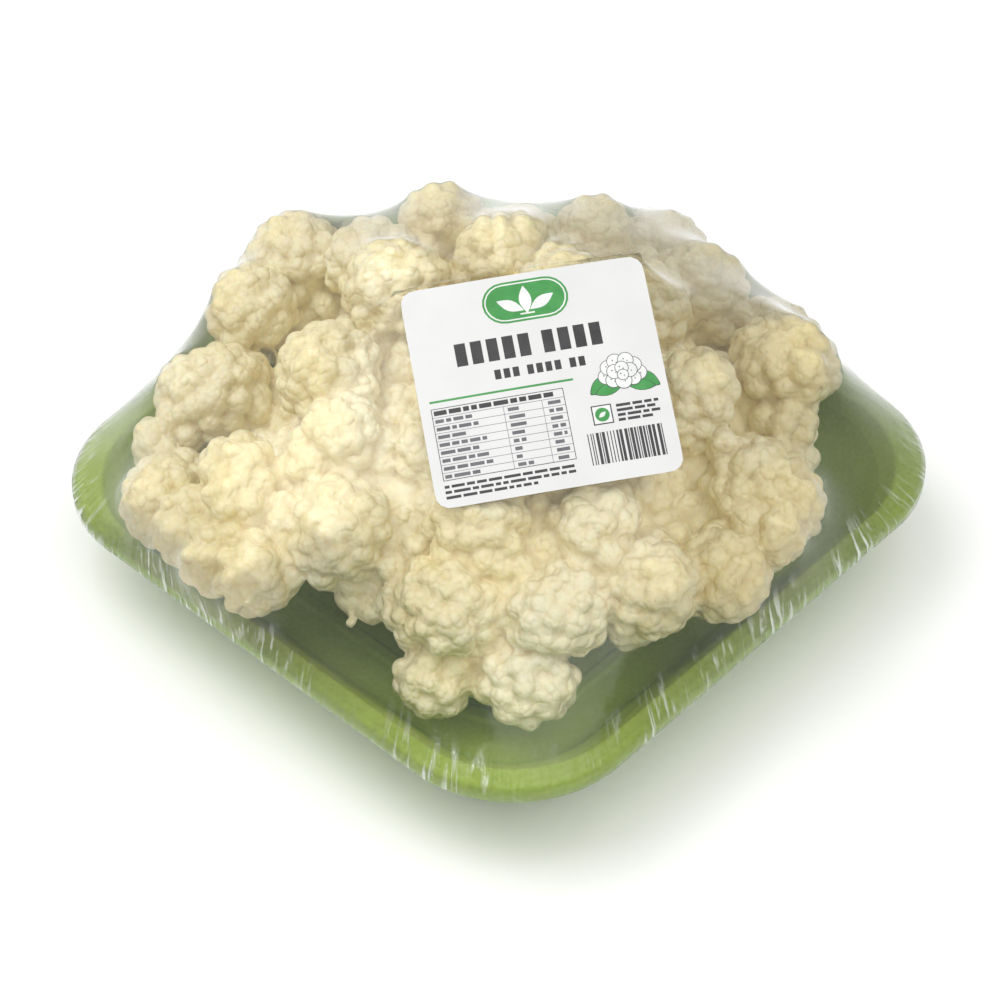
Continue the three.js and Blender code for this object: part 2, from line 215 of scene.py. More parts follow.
def hollows(piece, passes, depth):
    """How deep each vertex lies in a hollow, from how far a smoothing of the surface would raise it."""
    points, facing = places(piece), normals(piece)
    modifier = piece.modifiers.new("broad", "SMOOTH")
    modifier.factor, modifier.iterations = 0.9, passes
    depsgraph = bpy.context.evaluated_depsgraph_get()
    broad = piece.evaluated_get(depsgraph).to_mesh()
    found = np.empty(len(broad.vertices) * 3, np.float32)
    broad.vertices.foreach_get("co", found)
    piece.evaluated_get(depsgraph).to_mesh_clear()
    piece.modifiers.clear()
    raised = np.einsum("ij,ij->i", found.reshape(-1, 3) - points, facing)
    return np.clip(raised / depth, 0, 1)


def ball_mesh(centres, radii, cuts):
    """One mesh with a closed ball at each centre."""
    ball = bmesh.new()
    bmesh.ops.create_icosphere(ball, subdivisions=cuts, radius=1)
    corners = np.array([vertex.co for vertex in ball.verts])
    faces = np.array([[vertex.index for vertex in face.verts] for face in ball.faces])
    ball.free()
    all_corners = centres[:, None] + corners * radii[:, None, None]
    all_faces = faces + (np.arange(len(centres)) * len(corners))[:, None, None]
    mesh = bpy.data.meshes.new("balls")
    mesh.from_pydata(all_corners.reshape(-1, 3).tolist(), [], all_faces.reshape(-1, 3).tolist())
    return mesh


def grow_balls(piece, draw, spacing, radius, spread, sunk, out, lowest_facing, cuts):
    """Sinks the surface and sets balls into it whose tops stand a little above where it was."""
    points, facing = places(piece), normals(piece)
    seeds = scatter(points, spacing, draw)
    seeds = seeds[(not_stalk(points[seeds]) > 0.5) & (facing[seeds, 2] > lowest_facing)]
    size = radius * (1 + spread * draw.uniform(-1, 1, len(seeds)))
    centres = points[seeds] - facing[seeds] * (size - out)[:, None]
    put(piece, points - facing * (sunk * not_stalk(points))[:, None])
    balls = ball_mesh(centres, size, cuts)
    shape = bmesh.new()
    shape.from_mesh(piece.data)
    shape.from_mesh(balls)
    shape.to_mesh(piece.data)
    shape.free()
    bpy.data.meshes.remove(balls)
    remesh(piece, CURD_VOXEL)


def make_curd():
    """Returns the curd, and its surface before it is thinned out, which the film rests on."""
    draw = np.random.default_rng(11)
    piece = merged_copy("cauliflower", "curd")
    remesh(piece, CORE_VOXEL)
    put(piece, places(piece) + normals(piece) * GAP_CLOSING)
    remesh(piece, CORE_VOXEL)
    put(piece, places(piece) - normals(piece) * GAP_CLOSING)
    soften(piece, 0.6, 5)
    grow_balls(piece, draw, **LOBES)
    soften(piece, 0.5, 4)
    grow_balls(piece, draw, **BUDS)
    soften(piece, 0.5, 1)
    under_film = surface_tree(piece)
    # Depth in the creases between buds, which the curd's colour darkens as painted shade.
    store(piece, "crease_shade", hollows(piece, CREASE_PASSES, CREASE_DEPTH))
    # Depth in the valleys between lobes, which the curd's colour darkens as painted shade.
    store(piece, "valley_shade", hollows(piece, VALLEY_PASSES, VALLEY_DEPTH))
    points, facing = places(piece), normals(piece)
    store(piece, "curd_share", not_stalk(points))
    out = np.hypot(points[:, 0], points[:, 1])
    under = np.clip(-facing[:, 2] * 1.6, 0, 1)
    low = np.clip((SHELTERED_HEIGHT - points[:, 2]) / SHELTER_FADE_UP, 0, 1)
    inner = np.clip((SHELTERED_REACH - out) / SHELTER_FADE_OUT, 0, 1)
    shelter = LEAST_SHELTER + (1 - LEAST_SHELTER) * np.maximum(under, low * inner)
    thin_out(piece, CURD_TRIANGLES, shelter)
    return piece, under_film


# ------------------------------------------------------------------------------------------------ the tray

tray_low, tray_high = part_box("foam_tray")
HALF_SIDE = tray_high.x
RIM_Z, BASE_Z = tray_high.z, tray_low.z
CORNER_ROUND = 29 * MM
WALL_RUN, WALL_THICKNESS, FLOOR_THICKNESS = 17 * MM, 3 * MM, 3.2 * MM
RIM_WIDTH, RIM_THICKNESS = 6 * MM, 3 * MM
TRAY_SPIN_STEPS = 288
DENT_SPACING, DENT_DEPTH, DENT_WIDTH, DENT_LENGTH = 5.2 * MM, 0.55 * MM, 0.75 * MM, 1.3 * MM
DENTS_LEFT_OUT, DENTED_HEIGHT = 0.45, 5 * MM


def squareness(bearing):
    """Distance from the axis to the tray's rounded-square outline, as a share of half its side."""
    across, along = np.abs(np.cos(bearing)), np.abs(np.sin(bearing))
    most, least = np.maximum(across, along), np.minimum(across, along)
    bend = CORNER_ROUND / HALF_SIDE
    straight = 1 - bend
    total = straight * (across + along)
    corner = total + np.sqrt(np.maximum(total * total - 2 * straight**2 + bend**2, 0))
    return np.where(least <= straight * most, 1 / most, corner)


def squared(points):
    """Draws round rings out to the tray's rounded-square outline."""
    reach = squareness(np.arctan2(points[:, 1], points[:, 0]))
    return np.column_stack([points[:, 0] * reach, points[:, 1] * reach, points[:, 2]])


def rounded(corners, steps=6):
    """A line through corners (out, z, radius) with each corner rounded."""
    line = []
    for i, (out, z, radius) in enumerate(corners):
        here = np.array([out, z])
        if radius == 0:
            line.append(here)
            continue
        before = np.array(corners[i - 1][:2]) - here
        after = np.array(corners[i + 1][:2]) - here
        before /= np.linalg.norm(before)
        after /= np.linalg.norm(after)
        half = math.acos(float(np.clip(before @ after, -1, 1))) / 2
        setback = radius / math.tan(half)
        start, stop = here + before * setback, here + after * setback
        for k in range(steps + 1):
            t = k / steps
            line.append((1 - t) ** 2 * start + 2 * t * (1 - t) * here + t**2 * stop)
    return line


def tray_profile():
    foot = HALF_SIDE - WALL_RUN
    inner = HALF_SIDE - RIM_WIDTH
    wall_foot = foot - WALL_THICKNESS
    floor = BASE_Z + FLOOR_THICKNESS
    under = RIM_Z - RIM_THICKNESS
    corners = [
        (0, BASE_Z, 0),
        (foot - 9 * MM, BASE_Z, 0),
        (foot - 8 * MM, BASE_Z + 0.5 * MM, 0.6 * MM),
        (foot - 3.4 * MM, BASE_Z + 0.5 * MM, 0.6 * MM),
        (foot - 2.6 * MM, BASE_Z, 0.4 * MM),
        (foot, BASE_Z, 2.2 * MM),
        (inner + WALL_THICKNESS, under - 0.6 * MM, 1.4 * MM),
        (HALF_SIDE - 0.9 * MM, under + 0.1 * MM, 0.5 * MM),
        (HALF_SIDE, under + 0.8 * MM, 0.5 * MM),
        (HALF_SIDE, RIM_Z - 0.4 * MM, 1.1 * MM),
        (HALF_SIDE - 2.2 * MM, RIM_Z, 1.4 * MM),
        (inner + 0.9 * MM, RIM_Z - 0.15 * MM, 1.5 * MM),
        (inner - 1.9 * MM, RIM_Z - 3.2 * MM, 2.2 * MM),
        (wall_foot + 5.2 * MM, floor + 9 * MM, 0),
        (wall_foot, floor, 6.5 * MM),
        (wall_foot - 9 * MM, floor, 1 * MM),
        (wall_foot - 10 * MM, floor + 0.5 * MM, 0.5 * MM),
        (wall_foot - 12 * MM, floor + 0.5 * MM, 0.5 * MM),
        (wall_foot - 13 * MM, floor, 0.5 * MM),
        (0, floor, 0),
    ]
    return rounded(corners)


def dent_rim(points):
    """Small nicks that fingers and film leave along the inner edge of the rim, unevenly apart."""
    draw = np.random.default_rng(5)
    out = np.hypot(points[:, 0], points[:, 1])
    bearing = np.arctan2(points[:, 1], points[:, 0])
    ring = out / squareness(bearing)
    along = bearing * out
    count = int(2 * math.pi * HALF_SIDE / DENT_SPACING)
    for k in range(count):
        keep = draw.uniform()
        at = (k + draw.uniform(-0.4, 0.4)) / count
        inward = draw.uniform(0.6, 3.4) * MM
        deep = draw.uniform(0.5, 1)
        if keep < DENTS_LEFT_OUT:
            continue
        turn = (at * 2 - 1) * math.pi
        sideways = np.abs(np.angle(np.exp(1j * (bearing - turn)))) * out
        radial = ring - (HALF_SIDE - RIM_WIDTH + inward)
        near = np.exp(-(sideways / DENT_WIDTH) ** 2 - (radial / DENT_LENGTH) ** 2)
        upper = points[:, 2] > RIM_Z - DENTED_HEIGHT
        points[:, 2] -= np.where(upper, near * deep * DENT_DEPTH, 0)
    return points


def make_tray():
    shape = bmesh.new()
    line = [shape.verts.new((out, 0, z)) for out, z in tray_profile()]
    edges = [shape.edges.new(pair) for pair in zip(line, line[1:])]
    bmesh.ops.spin(
        shape, geom=line + edges, cent=(0, 0, 0), axis=(0, 0, 1),
        angle=2 * math.pi, steps=TRAY_SPIN_STEPS, use_merge=True,
    )
    bmesh.ops.remove_doubles(shape, verts=shape.verts, dist=1e-6)
    bmesh.ops.recalc_face_normals(shape, faces=shape.faces)
    piece = piece_from_bmesh("tray", shape)
    points = squared(places(piece))
    put(piece, dent_rim(points))
    return piece


# ----------------------------------------------------------------------------------------------- the label

LABEL_FACING, LABEL_TILT, LABEL_TURN = math.radians(-46), math.radians(27), math.radians(9)
LABEL_WIDTH, LABEL_LENGTH, LABEL_ROUND = 51 * MM, 48 * MM, 3 * MM
PAPER_THICKNESS = 0.12 * MM
INK_THICKNESS = 0.01 * MM
INK_LIFT = 0.005 * MM
LABEL_SAG_ACROSS, LABEL_SAG_ALONG = 0.5 * MM, 0.35 * MM

label_low, label_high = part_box("label")
label_middle = np.array((label_low + label_high) / 2)
label_normal = np.array([
    math.cos(LABEL_FACING) * math.sin(LABEL_TILT),
    math.sin(LABEL_FACING) * math.sin(LABEL_TILT),
    math.cos(LABEL_TILT),
])
level_across = Vector((-math.sin(LABEL_FACING), math.cos(LABEL_FACING), 0))
label_across = np.array(Matrix.Rotation(LABEL_TURN, 3, Vector(label_normal)) @ level_across)
label_along = np.cross(label_normal, label_across)


def label_sag(u, v):
    """How far the paper bends down with the film, away from its middle."""
    return LABEL_SAG_ACROSS * (2 * u / LABEL_WIDTH) ** 2 + LABEL_SAG_ALONG * (2 * v / LABEL_LENGTH) ** 2


def on_label(points, lift):
    """Flat label points (across, along, height) laid on the bent paper."""
    u, v, w = points.T
    height = w + lift - label_sag(u, v)
    flat = label_middle + np.outer(u, label_across) + np.outer(v, label_along)
    return flat + np.outer(height, label_normal)


def lay_on_label(piece, lift):
    put(piece, on_label(places(piece), lift))


def thicken(shape, thickness):
    """Gives flat shapes a thickness upwards."""
    raised = bmesh.ops.extrude_face_region(shape, geom=shape.faces[:], use_keep_orig=True)["geom"]
    top = [item for item in raised if isinstance(item, bmesh.types.BMVert)]
    bmesh.ops.translate(shape, vec=(0, 0, thickness), verts=top)
    bmesh.ops.recalc_face_normals(shape, faces=shape.faces)


def make_paper():
    shape = bmesh.new()
    bmesh.ops.create_grid(shape, x_segments=24, y_segments=24, size=0.5)
    for vert in shape.verts:
        vert.co.x *= LABEL_WIDTH
        vert.co.y *= LABEL_LENGTH
    half_u, half_v, bend = LABEL_WIDTH / 2, LABEL_LENGTH / 2, LABEL_ROUND
    for vert in shape.verts:
        u, v = vert.co.x, vert.co.y
        over_u, over_v = abs(u) - (half_u - bend), abs(v) - (half_v - bend)
        if over_u > 0 and over_v > 0:
            size = max(over_u, over_v)
            reach = math.hypot(over_u, over_v)
            vert.co.x = math.copysign(half_u - bend + over_u * size / reach, u)
            vert.co.y = math.copysign(half_v - bend + over_v * size / reach, v)
    thicken(shape, PAPER_THICKNESS)
    piece = piece_from_bmesh("label_paper", shape, smooth=False)
    lay_on_label(piece, 0)
    return piece


INK_COLOURS = {
    "ink_dark": (0.018, 0.018, 0.020),
    "ink_green": (0.03, 0.24, 0.045),
    "ink_pale": (0.68, 0.69, 0.67),
    "ink_grey": (0.10, 0.10, 0.11),
}
INKS = {name: slot for slot, name in enumerate(INK_COLOURS)}
PRINT_STEP = 3 * MM


class Printing:
    """Ink on the flat label. Places are millimetres right of and below the label's upper left corner."""

    def __init__(self):
        self.shape = bmesh.new()

    def spot(self, right, down):
        return right * MM - LABEL_WIDTH / 2, LABEL_LENGTH / 2 - down * MM

    def colour(self, verts, ink, layer):
        for vert in verts:
            vert.co.z = layer * INK_LIFT
        for face in {face for vert in verts for face in vert.link_faces}:
            face.material_index = INKS[ink]

    def bar(self, left, top, right, bottom, ink="ink_dark", layer=0):
        u0, v1 = self.spot(left, top)
        u1, v0 = self.spot(right, bottom)
        across = max(1, math.ceil((u1 - u0) / PRINT_STEP))
        along = max(1, math.ceil((v1 - v0) / PRINT_STEP))
        made = bmesh.ops.create_grid(self.shape, x_segments=across, y_segments=along, size=0.5)["verts"]
        for vert in made:
            vert.co.x = (u0 + u1) / 2 + vert.co.x * (u1 - u0)
            vert.co.y = (v0 + v1) / 2 + vert.co.y * (v1 - v0)
        self.colour(made, ink, layer)

    def disc(self, right, down, radius, ink="ink_dark", layer=0, flat=1.0, turn=0.0, point=0.0):
        """A disc, or with a flatness and a point a leaf."""
        made = bmesh.ops.create_circle(self.shape, cap_ends=True, segments=20, radius=radius * MM)["verts"]
        u0, v0 = self.spot(right, down)
        sine, cosine = math.sin(turn), math.cos(turn)
        for vert in made:
            u = vert.co.x
            share = abs(u) / (radius * MM)
            v = vert.co.y * flat * (1 - point * share**2)
            vert.co.x = u0 + u * cosine - v * sine
            vert.co.y = v0 + u * sine + v * cosine
        self.colour(made, ink, layer)

    def text_line(self, left, top, right, height, draw, ink="ink_dark"):
        """A run of small blocks that stands for a line of words."""
        at = left
        while at < right - 0.6:
            word = min(draw.uniform(0.9, 3.4), right - at)
            self.bar(at, top, at + word, top + height, ink)
            at += word + 0.45


def print_emblem(ink):
    """A green seal with a pale sprig of three leaves."""
    for step, (size, colour) in enumerate([(4.6, "ink_green"), (4.15, "ink_pale"), (3.85, "ink_green")]):
        for side in (-1, 1):
            ink.disc(25.5 + side * 4.4, 6.1, size, colour, layer=step)
        ink.bar(21.1, 6.1 - size, 29.9, 6.1 + size, colour, layer=step)
    ink.disc(25.5, 6.0, 3.1, "ink_pale", layer=3, flat=0.42, turn=math.radians(90), point=0.75)
    for side in (-1, 1):
        lean = side * math.radians(28)
        ink.disc(25.5 + side * 3.3, 6.9, 3.0, "ink_pale", layer=3, flat=0.4, turn=lean, point=0.75)
    ink.bar(24.0, 8.9, 27.0, 9.25, "ink_pale", layer=3)


def print_picture(ink):
    """A small drawing of a cauliflower between leaves."""
    middle, down, scale = 42.2, 25.3, 0.78

    def leaf(out, drop, size, turn, flat, layer):
        for side in (-1, 1):
            place = (middle + side * out * scale, down + drop * scale)
            lean = -side * math.radians(turn)
            for border, colour, rise in ((0.25, "ink_dark", 0), (0, "ink_green", 1)):
                ink.disc(*place, (size + border) * scale, colour, layer + rise, flat, lean, 0.5)

    leaf(6.2, 2.5, 3.7, 38, 0.5, 0)
    leaf(4.2, 4.0, 3.8, 14, 0.42, 2)
    lumps = [
        (-4.4, 0.6, 2.2), (4.4, 0.6, 2.2), (-3.4, -1.8, 2.2), (3.4, -1.8, 2.2), (-1.4, -3.3, 2.2),
        (1.5, -3.3, 2.2), (-2.7, 1.9, 2.1), (2.7, 1.9, 2.1), (0, 2.3, 2.3), (-2.0, -0.5, 2.1),
        (2.1, -0.4, 2.1), (0.1, -1.3, 1.9), (0.1, 0.7, 1.6),
    ]
    for step, (right, lower, radius) in enumerate(lumps):
        at, level, layer = middle + right * scale, down + lower * scale, 4 + 2 * step
        ink.disc(at, level, radius * scale, "ink_grey", layer)
        ink.disc(at, level, (radius - 0.2) * scale, "ink_pale", layer + 1)
        ink.disc(at - 0.4, level - 0.3, 0.16, "ink_grey", layer + 2)
        ink.disc(at + 0.3, level + 0.2, 0.14, "ink_grey", layer + 2)


def print_table(ink, draw):
    """A ruled table: a heading band, columns and rows of short blocks."""
    left, right, top, bottom = 2.2, 29.6, 26.6, 42.2
    line, thin_line, heading = 0.14, 0.09, 1.9
    ink.bar(left, top, right, top + line)
    ink.bar(left, bottom - line, right, bottom)
    ink.bar(left, top, left + line, bottom)
    ink.bar(right - line, top, right, bottom)
    ink.text_line(left + 0.5, top + 0.5, right - 2.2, 1.0, draw)
    rows = 8
    row_height = (bottom - top - heading) / rows
    for row in range(rows):
        at = top + heading + row * row_height
        ink.bar(left, at, right, at + thin_line, "ink_grey")
        ink.text_line(left + 0.5, at + 0.5, left + draw.uniform(6, 11), 0.75, draw, "ink_grey")
        ink.text_line(left + 15.5, at + 0.5, left + 15.5 + draw.uniform(2, 3.6), 0.75, draw, "ink_grey")
        ink.text_line(right - 3.6, at + 0.5, right - 0.8, 0.75, draw, "ink_grey")
    for column in (14.6, 22.6):
        ink.bar(left + column, top + heading, left + column + thin_line, bottom, "ink_grey")


def print_blocks(ink, words, pitch, width, top, bottom):
    """Rows of tall blocks in place of a heading, as (left, count) for each word."""
    for left, blocks in words:
        for block in range(blocks):
            at = left + pitch * block
            ink.bar(at, top, at + width, bottom)


def print_badge(ink):
    """A small framed square with a leaf on a disc."""
    ink.bar(34.4, 31.6, 38.6, 35.8, "ink_dark")
    ink.bar(34.65, 31.85, 38.35, 35.55, "ink_pale", layer=1)
    ink.disc(36.5, 33.7, 1.5, "ink_green", layer=2)
    ink.disc(36.5, 33.7, 0.9, "ink_pale", layer=3, flat=0.5, turn=math.radians(35), point=0.6)


def print_stripes(ink, draw):
    """A row of stripes of mixed widths, which stand for nothing."""
    left, right, top, bottom = 32.6, 48.0, 37.4, 44.2
    while left < right:
        stripe = draw.choice([0.2, 0.2, 0.4, 0.6])
        ink.bar(left, top, left + stripe, bottom)
        left += stripe + draw.choice([0.2, 0.25, 0.45])


def make_print():
    draw = np.random.default_rng(23)
    ink = Printing()
    print_emblem(ink)
    print_blocks(ink, ((9.2, 5), (27.4, 4)), 3.3, 2.3, 13.4, 18.4)
    print_blocks(ink, ((16.4, 3), (23.2, 4), (32.0, 2)), 1.9, 1.3, 20.4, 22.5)
    ink.bar(2.2, 24.9, 32.0, 25.35, "ink_green")
    print_table(ink, draw)
    print_picture(ink)
    for row in range(3):
        ink.text_line(2.2, 43.2 + 1.15 * row, (29.6, 29.0, 21.0)[row], 0.6, draw, "ink_dark")
    print_badge(ink)
    for row in range(4):
        ink.text_line(39.6, 31.9 + 1.05 * row, 48.4 - 0.8 * (row % 2), 0.6, draw, "ink_dark")
    print_stripes(ink, draw)
    thicken(ink.shape, INK_THICKNESS)
    piece = piece_from_bmesh("label_print", ink.shape, smooth=False)
    lay_on_label(piece, PAPER_THICKNESS + 2 * INK_LIFT)
    return piece


# ------------------------------------------------------------------------------------------------ the film

FILM_SEGMENTS, DOME_RINGS = 512, 96
FILM_LIFT = 0.25 * MM
UNDER_LABEL = 0.16 * MM
FILM_RIM_OUT = HALF_SIDE + 0.12 * MM
GATHERED_OUT, GATHERED_WAVER = 17 * MM, 9 * MM
# Segments, rings and passes of each stage of relaxing, coarse to fine.
RELAX_STAGES = ((64, 12, 400), (128, 24, 400), (256, 48, 300), (FILM_SEGMENTS, DOME_RINGS, 200))
FINE_SEGMENTS = 256  # from here on the sheet follows the curd ray by ray
RAY_REACH = 0.16
LABEL_MARGIN = 1.5 * MM
CREASE_RINGS, CREASE_FADE, CREASE_HEIGHT = 14, 5.0, 0.22 * MM
WALL_RINGS, GATHERED_RINGS = 14, 14
FREE_HANG = 9 * MM
FLAT_BELOW, FLAT_FOLD, MOST_FOLD, WALL_FOLD = 0.35 * MM, 0.16 * MM, 0.26 * MM, 0.3 * MM
dome_centre = np.array([0, 0, RIM_Z - 0.3 * MM])


def film_rays(segments, rings):
    rise = np.linspace(math.pi / 2, 0, rings + 1)[:, None]
    bearing = (np.arange(segments) / segments * 2 * math.pi)[None, :]
    out = np.cos(rise) * squareness(bearing)
    flat = np.ones_like(bearing)
    return np.stack([out * np.cos(bearing), out * np.sin(bearing), np.sin(rise) * flat], axis=2)


def film_rests_on(rays, tree):
    """How far along each ray the curd or the underside of the label holds the film."""
    shape = rays.shape[:2]
    length = np.linalg.norm(rays, axis=2)
    held = np.zeros(shape)
    for i in range(shape[0]):
        for j in range(shape[1]):
            toward = rays[i, j] / length[i, j]
            hit = tree.ray_cast(dome_centre + toward * RAY_REACH, -toward, RAY_REACH)
            if hit[0] is not None:
                held[i, j] = (RAY_REACH - hit[3] + FILM_LIFT) / length[i, j]
    facing = rays @ label_normal
    ahead = (label_middle - dome_centre) @ label_normal
    reach = np.where(facing > 0, ahead / np.maximum(facing, 1e-6), 0)
    offset = dome_centre + rays * reach[..., None] - label_middle
    u, v = offset @ label_across, offset @ label_along
    within_width = np.abs(u) < LABEL_WIDTH / 2 + LABEL_MARGIN
    within_length = np.abs(v) < LABEL_LENGTH / 2 + LABEL_MARGIN
    under = (facing > 0) & within_width & within_length
    bent = (ahead - UNDER_LABEL - label_sag(u, v)) / np.maximum(facing, 1e-6)
    return held, np.where(under, bent, 0)


def spread_most(values):
    """The largest value among each cell and its eight neighbours."""
    wide = np.maximum(values, np.maximum(np.roll(values, 1, 1), np.roll(values, -1, 1)))
    tall = wide.copy()
    tall[1:] = np.maximum(tall[1:], wide[:-1])
    tall[:-1] = np.maximum(tall[:-1], wide[1:])
    return tall


def doubled(reach):
    """The same reaches on a grid with twice as many rays each way."""
    finer = np.empty((2 * len(reach) - 1, 2 * reach.shape[1]))
    finer[::2, ::2] = reach
    finer[1::2, ::2] = (reach[:-1] + reach[1:]) / 2
    finer[:, 1::2] = (finer[:, ::2] + np.roll(finer[:, ::2], -1, 1)) / 2
    return finer


def relax_film(tree):
    """The taut sheet above the rim: each vertex slides on its ray to the mean of its neighbours, and rests on
    the curd and under the label. Returns the points and how far above its rest each one hangs."""
    reach = None
    for segments, rings, passes in RELAX_STAGES:
        rays = film_rays(segments, rings)
        held, under = film_rests_on(rays, tree)
        least = spread_most(held) if segments < FINE_SEGMENTS else held
        fixed = under > 0
        size = np.einsum("ijk,ijk->ij", rays, rays)
        reach = np.full((rings + 1, segments), HALF_SIDE) if reach is None else doubled(reach)
        reach = np.where(fixed, under, np.maximum(reach, least))
        reach[-1] = FILM_RIM_OUT
        for _ in range(passes):
            point = rays * reach[..., None]
            before, after = np.roll(point, 1, 1)[1:-1], np.roll(point, -1, 1)[1:-1]
            mean = (point[:-2] + point[2:] + before + after) / 4
            slid = np.einsum("ijk,ijk->ij", mean, rays[1:-1]) / size[1:-1]
            reach[1:-1] = np.where(fixed[1:-1], under[1:-1], np.maximum(least[1:-1], slid))
            reach[0] = max(least[0].max(), (reach[1] * rays[1, :, 2]).mean())
    hang = (reach - held) * np.sqrt(size)
    return dome_centre + rays * reach[..., None], hang


def film_under_rim():
    """Rings down the rim's edge, in to the tray's foot and under it to the gathered middle, as (out, z)."""
    foot = HALF_SIDE - WALL_RUN
    edge = FILM_RIM_OUT
    line = [(edge, RIM_Z - 1.2 * MM), (edge, RIM_Z - RIM_THICKNESS + 0.4 * MM)]
    start = np.array([edge - 0.3 * MM, RIM_Z - RIM_THICKNESS - 0.2 * MM])
    stop = np.array([foot + 1.2 * MM, 1.1 * MM])
    line += [tuple(start + (stop - start) * t) for t in np.linspace(0, 1, WALL_RINGS)]
    line += [(foot + 0.3 * MM, 0.45 * MM)]
    line += [(out, 0.3 * MM) for out in np.linspace(foot - 1.5 * MM, GATHERED_OUT, GATHERED_RINGS)]
    return line


def band_noise(bearing, draw, low, high, count):
    """A smooth random line round the pack, from waves between a lowest and a highest count."""
    waves = np.zeros_like(bearing)
    for _ in range(count):
        waves += np.sin(draw.integers(low, high) * bearing + draw.uniform(0, 2 * math.pi))
    return waves / math.sqrt(count)


def crease_film(dome, under, draw):
    """Stretch creases that start at the rim and fade into the sheet, and pleats gathered under the tray."""
    bearing = np.arange(FILM_SEGMENTS) / FILM_SEGMENTS * 2 * math.pi
    fine = band_noise(bearing, draw, 60, 170, 14)
    groups = np.clip(band_noise(bearing, draw, 4, 15, 6) * 0.5 + 0.45, 0.08, 1)
    outward = dome[-1] - dome_centre
    outward /= np.linalg.norm(outward, axis=1)[:, None]
    lift = np.array([0, 0, 1.0])
    for ring in range(CREASE_RINGS):
        step = fine * groups * math.exp(-(ring / CREASE_FADE)) * CREASE_HEIGHT
        dome[-2 - ring] += np.abs(step)[:, None] * (outward + lift) * 0.7
    folds = np.abs(band_noise(bearing, draw, 24, 90, 12))
    hem = np.clip(band_noise(bearing, draw, 12, 40, 7), -1.5, 1.5) * GATHERED_WAVER
    across = np.column_stack([np.cos(bearing), np.sin(bearing), np.zeros(FILM_SEGMENTS)])
    for step, points in enumerate(under[-GATHERED_RINGS:]):
        points += across * (hem * (step / (GATHERED_RINGS - 1)) ** 3)[:, None]
    for step, points in enumerate(under[2:], start=1):
        if points[0, 2] < FLAT_BELOW:
            points[:, 2] -= np.minimum(folds * FLAT_FOLD, MOST_FOLD)
        else:
            points -= outward * (folds * WALL_FOLD * min(1, step / 4))[:, None]
    return dome, under


def fill_film_attributes(piece, closed, hang):
    """Stores each vertex's way round the rim, down from it and off it, and how far it hangs free."""
    rim = closed[DOME_RINGS]
    round_way = np.concatenate([[0], np.cumsum(np.linalg.norm(np.diff(rim, axis=0), axis=1))])
    steps_down = np.cumsum(np.linalg.norm(np.diff(closed, axis=0), axis=2), axis=0)
    down_way = np.vstack([np.zeros(FILM_SEGMENTS + 1), steps_down])
    down_way -= down_way[DOME_RINGS].copy()
    store(piece, "round_way", np.tile(round_way, len(closed)))
    store(piece, "down_way", down_way.ravel())
    store(piece, "from_rim", np.abs(down_way).ravel())
    below_rim = np.full((len(closed) - len(hang), FILM_SEGMENTS + 1), FREE_HANG)
    store(piece, "hang", np.vstack([np.hstack([hang, hang[:, :1]]), below_rim]).ravel())


def close_film(piece):
    """Joins the seam and the crown's repeated vertices, and turns the sheet's outside outwards."""
    shape = bmesh.new()
    shape.from_mesh(piece.data)
    bmesh.ops.remove_doubles(shape, verts=shape.verts, dist=1e-7)
    shape.normal_update()
    top = max(shape.faces, key=lambda face: face.calc_center_median().z)
    if top.normal.z < 0:
        bmesh.ops.reverse_faces(shape, faces=shape.faces)
    shape.to_mesh(piece.data)
    shape.free()
    piece.data.shade_smooth()


def make_film(tree):
    draw = np.random.default_rng(31)
    dome, hang = relax_film(tree)
    bearing = np.arange(FILM_SEGMENTS) / FILM_SEGMENTS * 2 * math.pi
    under = []
    for out, z in film_under_rim():
        reach = out * squareness(bearing)
        level = np.full(FILM_SEGMENTS, z)
        under.append(np.column_stack([reach * np.cos(bearing), reach * np.sin(bearing), level]))
    dome, under = crease_film(dome, under, draw)
    crown = dome[0].mean(axis=0)[None, :].repeat(FILM_SEGMENTS, 0)
    rows = [crown, *dome[1:], *under]
    shape = bmesh.new()
    bmesh.ops.create_grid(shape, x_segments=FILM_SEGMENTS, y_segments=len(rows) - 1, size=0.5)
    piece = piece_from_bmesh("wrap_film", shape)
    closed = np.array([np.vstack([row, row[:1]]) for row in rows])
    put(piece, closed.reshape(-1, 3))
    fill_film_attributes(piece, closed, hang)
    close_film(piece)
    return piece


# ----------------------------------------------------------------------------------------------- materials

